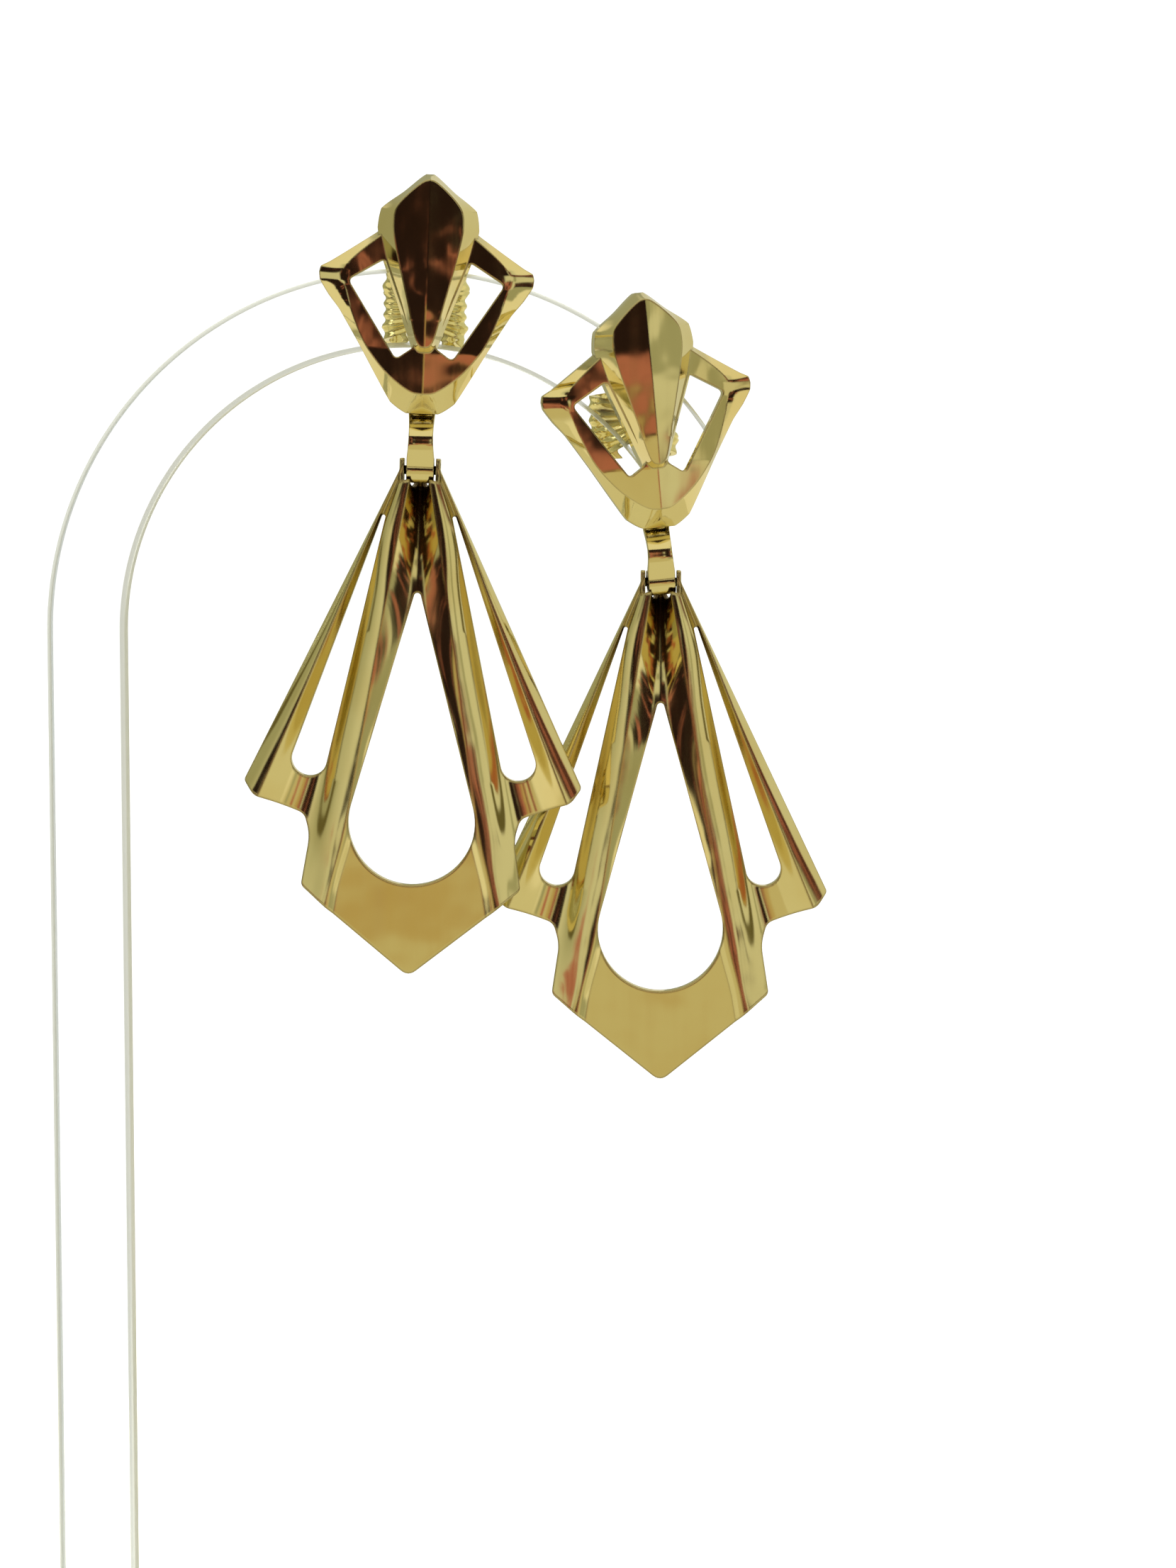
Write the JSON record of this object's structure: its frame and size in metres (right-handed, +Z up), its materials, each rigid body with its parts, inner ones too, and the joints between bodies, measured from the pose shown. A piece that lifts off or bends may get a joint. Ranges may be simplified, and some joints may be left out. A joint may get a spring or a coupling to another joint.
{
  "type": "pair of drop earrings on a clear display stand",
  "caption": "Pair of gold-tone drop earrings, each a pierced kite top, a short link and a pleated fan drop, hung on a clear bent stand.",
  "frame": {"origin": "middle of the stand's underside", "axes": "+Z up, the earrings face -Y, +X to the viewer's right"},
  "size_m": [0.078, 0.052, 0.1321],
  "materials": {
    "clear_bar": "clear cast acrylic, flame-polished edges",
    "clear_base": "clear cast acrylic, flame-polished edges",
    "gold_kite": "mirror-polished gold tone plate",
    "gold_nut": "bright gold tone plate",
    "gold_link": "mirror-polished gold tone plate",
    "gold_drop": "mirror-polished gold tone plate"
  },
  "bodies": {
    "root": {"stand_bar": "clear_bar", "stand_base": "clear_base", "kite_top_left": "gold_kite", "kite_top_right": "gold_kite", "ear_nut_left": "gold_nut", "ear_nut_right": "gold_nut"},
    "hanger_left": {"link_left": "gold_link"},
    "fan_left": {"drop_left": "gold_drop"},
    "hanger_right": {"link_right": "gold_link"},
    "fan_right": {"drop_right": "gold_drop"}
  },
  "joints": [
    {"name": "left_link_swing", "type": "hinge", "parent": "root", "child": "hanger_left", "pos_m": [0.00144, -0.00576, 0.11446], "axis": [0.9982, 0.0436, -0.0401], "range_deg": [-15, 0]},
    {"name": "left_drop_swing", "type": "hinge", "parent": "hanger_left", "child": "fan_left", "pos_m": [0.00123, -0.00576, 0.10867], "axis": [0.9996, 0, -0.0279], "range_deg": [-40, 0]},
    {"name": "right_link_swing", "type": "hinge", "parent": "root", "child": "hanger_right", "pos_m": [0.02013, -0.00301, 0.10533], "axis": [0.9843, 0.1471, 0.0976], "range_deg": [0, 15]},
    {"name": "right_drop_swing", "type": "hinge", "parent": "hanger_right", "child": "fan_right", "pos_m": [0.02068, -0.00296, 0.09956], "axis": [1, 0, 0], "range_deg": [0, 40]}
  ]
}
